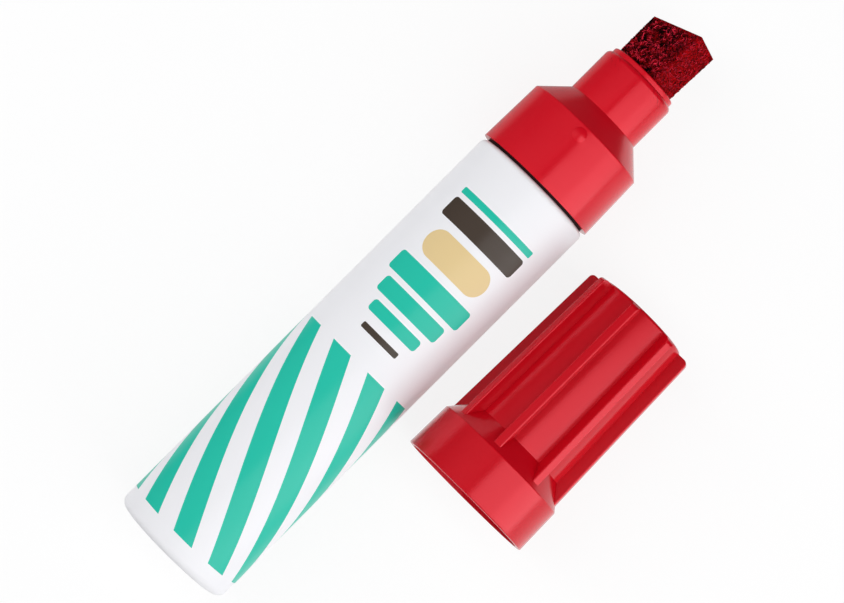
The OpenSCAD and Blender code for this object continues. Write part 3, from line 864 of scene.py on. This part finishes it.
def floor_material(colour):
    """Pale floor that keeps a faint shadow.

    In reflections it is white on the cap's side, dimmer on the far side and more so beside the red
    front, and dark ahead of the tip and farther out on the far side.
    """
    camera_white = 0.86
    mirrored_white = 0.95
    far_dimming, front_dimming = 0.28, 0.30
    side_edge, ahead_edge = (0.075, 0.045), (0.20, 0.182)
    far_edge, front_edge = (-0.01, 0.01), (0.122, 0.130)
    material, tree, shader = new_material("pale_floor")
    shader.inputs["Base Color"].default_value = (*colour, 1.0)
    shader.inputs["Roughness"].default_value = 0.9
    shader.inputs["Specular IOR Level"].default_value = 0.0
    place = split(tree, object_position(tree))
    sheet = times(tree, fade(tree, place["Y"], *side_edge), fade(tree, place["X"], *ahead_edge))
    front = math_node(tree, "MULTIPLY_ADD", fade(tree, place["X"], *front_edge), front_dimming, far_dimming)
    far = times(tree, fade(tree, place["Y"], *far_edge), front)
    sheet = times(tree, sheet, math_node(tree, "SUBTRACT", 1.0, far))
    ray = tree.nodes.new("ShaderNodeLightPath").outputs
    mirrored = math_node(tree, "MAXIMUM", ray["Is Glossy Ray"], ray["Is Transmission Ray"])
    surface = shader.outputs[0]
    for rays, share, brightness in ((ray["Is Camera Ray"], camera_white, 1.0),
                                    (mirrored, mirrored_white, sheet)):
        glow = add_node(tree, "ShaderNodeEmission", None, {"Color": (1, 1, 1, 1), "Strength": brightness})
        surface = add_node(tree, "ShaderNodeMixShader", None,
                           {0: times(tree, rays, share), 1: surface, 2: glow.outputs[0]}).outputs[0]
    leave = next(made for made in tree.nodes if made.type == "OUTPUT_MATERIAL")
    tree.links.new(surface, leave.inputs["Surface"])
    return material


def add_floor(scene, setup):
    """Adds the floor under the object."""
    mesh = bpy.data.meshes.new("floor")
    corners = [(-1, -1), (1, -1), (1, 1), (-1, 1)]
    mesh.from_pydata([(x * FLOOR_REACH, y * FLOOR_REACH, FLOOR_Z) for x, y in corners], [], [(0, 1, 2, 3)])
    mesh.materials.append(floor_material(setup.floor))
    floor = bpy.data.objects.new("floor", mesh)
    scene.collection.objects.link(floor)


def add_panel(scene, name, top, foot, brightness):
    """Adds a large soft panel between two edges beside the barrel, and turns it to the barrel."""
    upper = Vector((PANEL_X, *top))
    lower = Vector((PANEL_X, *foot))
    middle = (upper + lower) / 2
    slope = lower - upper
    lamp = bpy.data.lights.new(name, "AREA")
    lamp.shape = "RECTANGLE"
    lamp.size = PANEL_WIDTH
    lamp.size_y = slope.length
    lamp.energy = brightness * math.pi * PANEL_WIDTH * slope.length
    panel = bpy.data.objects.new(name, lamp)
    along = Vector((1, 0, 0))
    across = slope.normalized()
    # A lamp shines against its own Z axis, so that axis points away from the barrel.
    outward = along.cross(across)
    if outward.dot(middle) < 0:
        along = -along
        outward = -outward
    panel.matrix_world = Matrix((along, across, outward)).transposed().to_4x4()
    panel.matrix_world.translation = middle
    scene.collection.objects.link(panel)
    return panel


def add_lamps(scene, setup):
    """Adds the panels on both sides of the barrel; the one on the far side doesn't show in reflections."""
    panels = (
        ("key_panel", KEY_TOP, KEY_MIDDLE, setup.key, True),
        ("low_panel", KEY_MIDDLE, KEY_FOOT, setup.key * LOW_PANEL_GAIN, True),
        ("fill_panel", FILL_TOP, FILL_FOOT, setup.fill, False),
    )
    for name, top, foot, brightness, shows in panels:
        panel = add_panel(scene, name, top, foot, brightness)
        panel.visible_glossy = shows


def add_camera(scene, setup):
    """Adds the camera, which looks down on the object and shows the barrel on a slant."""
    camera = bpy.data.cameras.new("camera")
    camera.sensor_fit = "HORIZONTAL"
    camera.angle = 2 * math.atan(PHOTO_WIDTH * setup.scale / 2 / setup.height)
    viewer = bpy.data.objects.new("camera", camera)
    scene.collection.objects.link(viewer)
    eye = Vector(setup.foot) + Vector((0, 0, setup.height))
    back = (eye - Vector(setup.aim)).normalized()
    right = Vector((math.cos(setup.turn), -math.sin(setup.turn), 0))
    right = (right - back * right.dot(back)).normalized()
    upward = back.cross(right)
    viewer.matrix_world = Matrix((right, upward, back)).transposed().to_4x4()
    viewer.matrix_world.translation = eye
    scene.camera = viewer


class MARKER_OT_barrel(bpy.types.Operator):
    """Print and lacquer the barrel"""
    bl_idname = "marker.barrel"
    bl_label = "Barrel"

    def execute(self, context):
        dress("barrel", barrel_material(context.scene.marker_barrel))
        return {"FINISHED"}


class MARKER_OT_front(bpy.types.Operator):
    """Finish the collar, the nib holder and the black ring, whose colour is also painted shade of the gap"""
    bl_idname = "marker.front"
    bl_label = "Front"

    def execute(self, context):
        finish = context.scene.marker_plastic
        dress("collar", neck_material(finish))
        dress("nib_holder", plastic_material("front_plastic", finish.front, RED_ROUGHNESS, finish.sheen))
        # The ring's near-black colour also stands in for the shade in the gap.
        dress("seal_ring", ring_material_with_gap_shade(finish))
        return {"FINISHED"}


class MARKER_OT_felt(bpy.types.Operator):
    """Build the felt with its loose strands, and finish the filler behind it"""
    bl_idname = "marker.felt"
    bl_label = "Felt"

    def execute(self, context):
        finish = context.scene.marker_felt
        felt = bpy.data.objects.new("felt_block", felt_mesh(finish))
        context.scene.collection.objects.link(felt)
        felt.data.materials.append(felt_material(finish))
        strands = grow_strands(finish, felt, strand_material(finish))
        for piece in (felt, strands):
            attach(piece, "felt")
        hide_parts("nib")
        dress("reservoir", filler_material(finish))
        film = context.scene.marker_plastic.film
        dress("reservoir_wrap", plastic_material("film", film, FILM_ROUGHNESS))
        return {"FINISHED"}


class MARKER_OT_cap(bpy.types.Operator):
    """Finish the cap and its liner"""
    bl_idname = "marker.cap"
    bl_label = "Cap"

    def execute(self, context):
        finish = context.scene.marker_plastic
        red = plastic_material("cap_plastic", finish.cap, RED_ROUGHNESS, finish.sheen)
        dress("cap_shell", red)
        dress("cap_liner", red)
        return {"FINISHED"}


class MARKER_OT_stage(bpy.types.Operator):
    """Set up the floor, the lamps and the camera"""
    bl_idname = "marker.stage"
    bl_label = "Stage"

    def execute(self, context):
        scene = context.scene
        setup = scene.marker_stage
        add_floor(scene, setup)
        scene.world = bpy.data.worlds.new("room")
        light_room(scene.world, setup)
        add_lamps(scene, setup)
        add_camera(scene, setup)
        scene.view_settings.view_transform = "Standard"
        return {"FINISHED"}


class MARKER_PT_panel(bpy.types.Panel):
    """Lists the steps that dress the marker"""
    bl_idname = "MARKER_PT_panel"
    bl_label = "Marker"
    bl_space_type = "VIEW_3D"
    bl_region_type = "UI"
    bl_category = "Marker"

    def draw(self, context):
        for operator in OPERATORS:
            self.layout.operator(operator.bl_idname)
        for group in GROUPS:
            settings = getattr(context.scene, group)
            self.layout.label(text=settings.bl_rna.name)
            for name in settings.bl_rna.properties.keys():
                if name not in ("rna_type", "name"):
                    self.layout.prop(settings, name)


OPERATORS = (MARKER_OT_barrel, MARKER_OT_front, MARKER_OT_felt, MARKER_OT_cap, MARKER_OT_stage)
GROUPS = {
    "marker_barrel": BarrelFinish,
    "marker_plastic": PlasticFinish,
    "marker_felt": FeltFinish,
    "marker_stage": StageSetup,
}
CLASSES = (*GROUPS.values(), *OPERATORS, MARKER_PT_panel)


def register():
    """Registers the classes and gives the scene their settings."""
    for made in CLASSES:
        bpy.utils.register_class(made)
    for name, group in GROUPS.items():
        setattr(bpy.types.Scene, name, bpy.props.PointerProperty(type=group))


def unregister():
    """Takes the settings and the classes away again."""
    for name in GROUPS:
        delattr(bpy.types.Scene, name)
    for made in reversed(CLASSES):
        bpy.utils.unregister_class(made)


def main():
    """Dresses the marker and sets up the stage."""
    register()
    bpy.ops.marker.barrel()
    bpy.ops.marker.front()
    bpy.ops.marker.felt()
    bpy.ops.marker.cap()
    bpy.ops.marker.stage()


if __name__ == "__main__":
    main()
